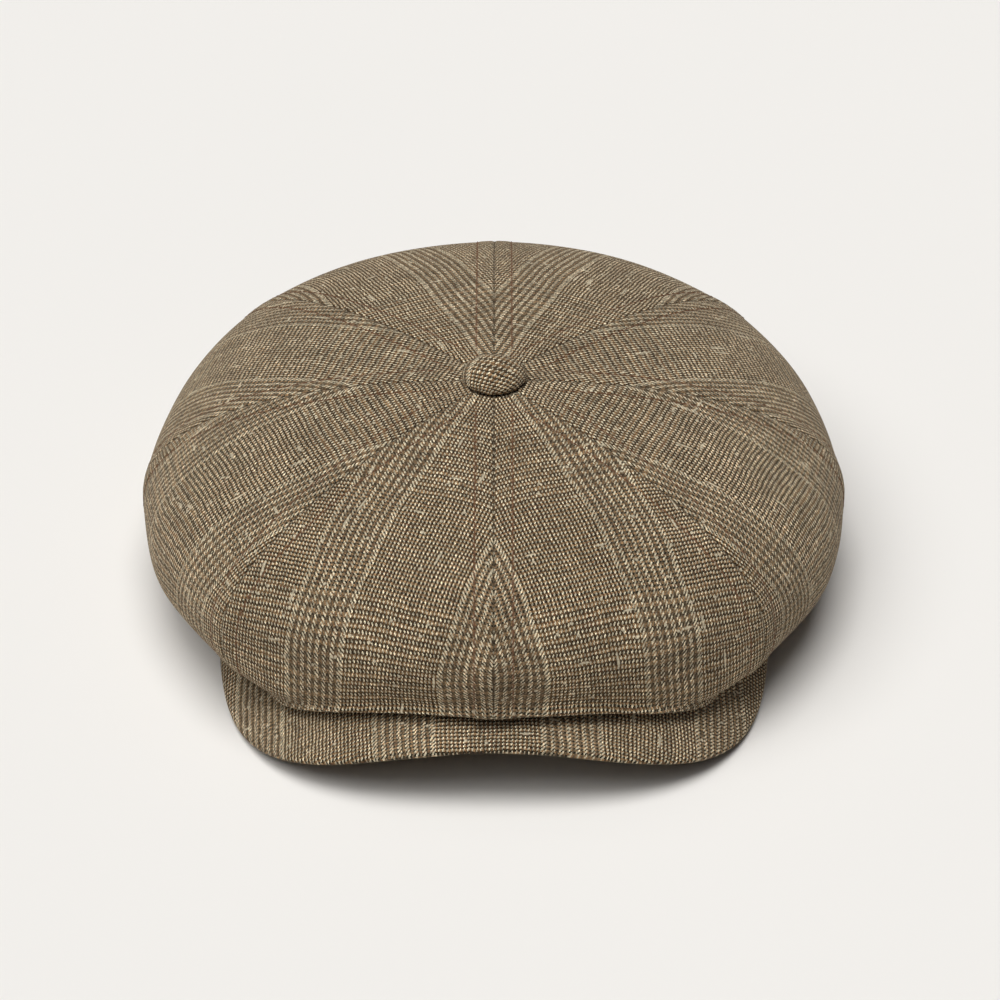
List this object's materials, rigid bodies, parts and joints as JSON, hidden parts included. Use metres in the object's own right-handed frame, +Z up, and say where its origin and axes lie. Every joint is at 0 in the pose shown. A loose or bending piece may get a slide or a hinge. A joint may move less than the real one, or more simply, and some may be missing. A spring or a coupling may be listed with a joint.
{
  "type": "newsboy cap",
  "caption": "Full soft newsboy cap: gored crown drooping over a short stiff visor, covered top button, lining and sweatband round an oval head opening.",
  "frame": {"origin": "middle of the cap's footprint, on the table it lies on", "axes": "+Z up, -Y towards the visor, +X towards the wearer's left"},
  "size_m": [0.272, 0.296, 0.0927],
  "materials": {
    "cap_cloth": "woven glen check in cream, olive brown and near black, with slubs and a thin rust overcheck",
    "lining_cloth": "smooth satin lining, soft sheen",
    "band_cloth": "dark ribbed cotton",
    "label_cloth": "blank woven label",
    "board_plastic": "matt moulded sheet",
    "button_metal": "dull plated steel"
  },
  "bodies": {
    "crown": {"panel_front_left": "cap_cloth", "panel_front_right": "cap_cloth", "panel_front_side_left": "cap_cloth", "panel_front_side_right": "cap_cloth", "panel_rear_side_left": "cap_cloth", "panel_rear_side_right": "cap_cloth", "panel_rear_left": "cap_cloth", "panel_rear_right": "cap_cloth", "lining_front_left": "lining_cloth", "lining_front_right": "lining_cloth", "lining_front_side_left": "lining_cloth", "lining_front_side_right": "lining_cloth", "lining_rear_side_left": "lining_cloth", "lining_rear_side_right": "lining_cloth", "lining_rear_left": "lining_cloth", "lining_rear_right": "lining_cloth", "sweatband": "band_cloth", "size_label": "label_cloth", "button_cover": "cap_cloth", "button_shell": "button_metal", "button_back": "button_metal", "button_washer": "button_metal"},
    "visor": {"visor_top_cover": "cap_cloth", "visor_board": "board_plastic", "visor_under_cover": "cap_cloth"}
  },
  "joints": [
    {"name": "visor_tilt", "type": "hinge", "parent": "crown", "child": "visor", "pos_m": [0, -0.034, 0.0247], "axis": [1, 0, 0], "range_deg": [0, 5]}
  ]
}
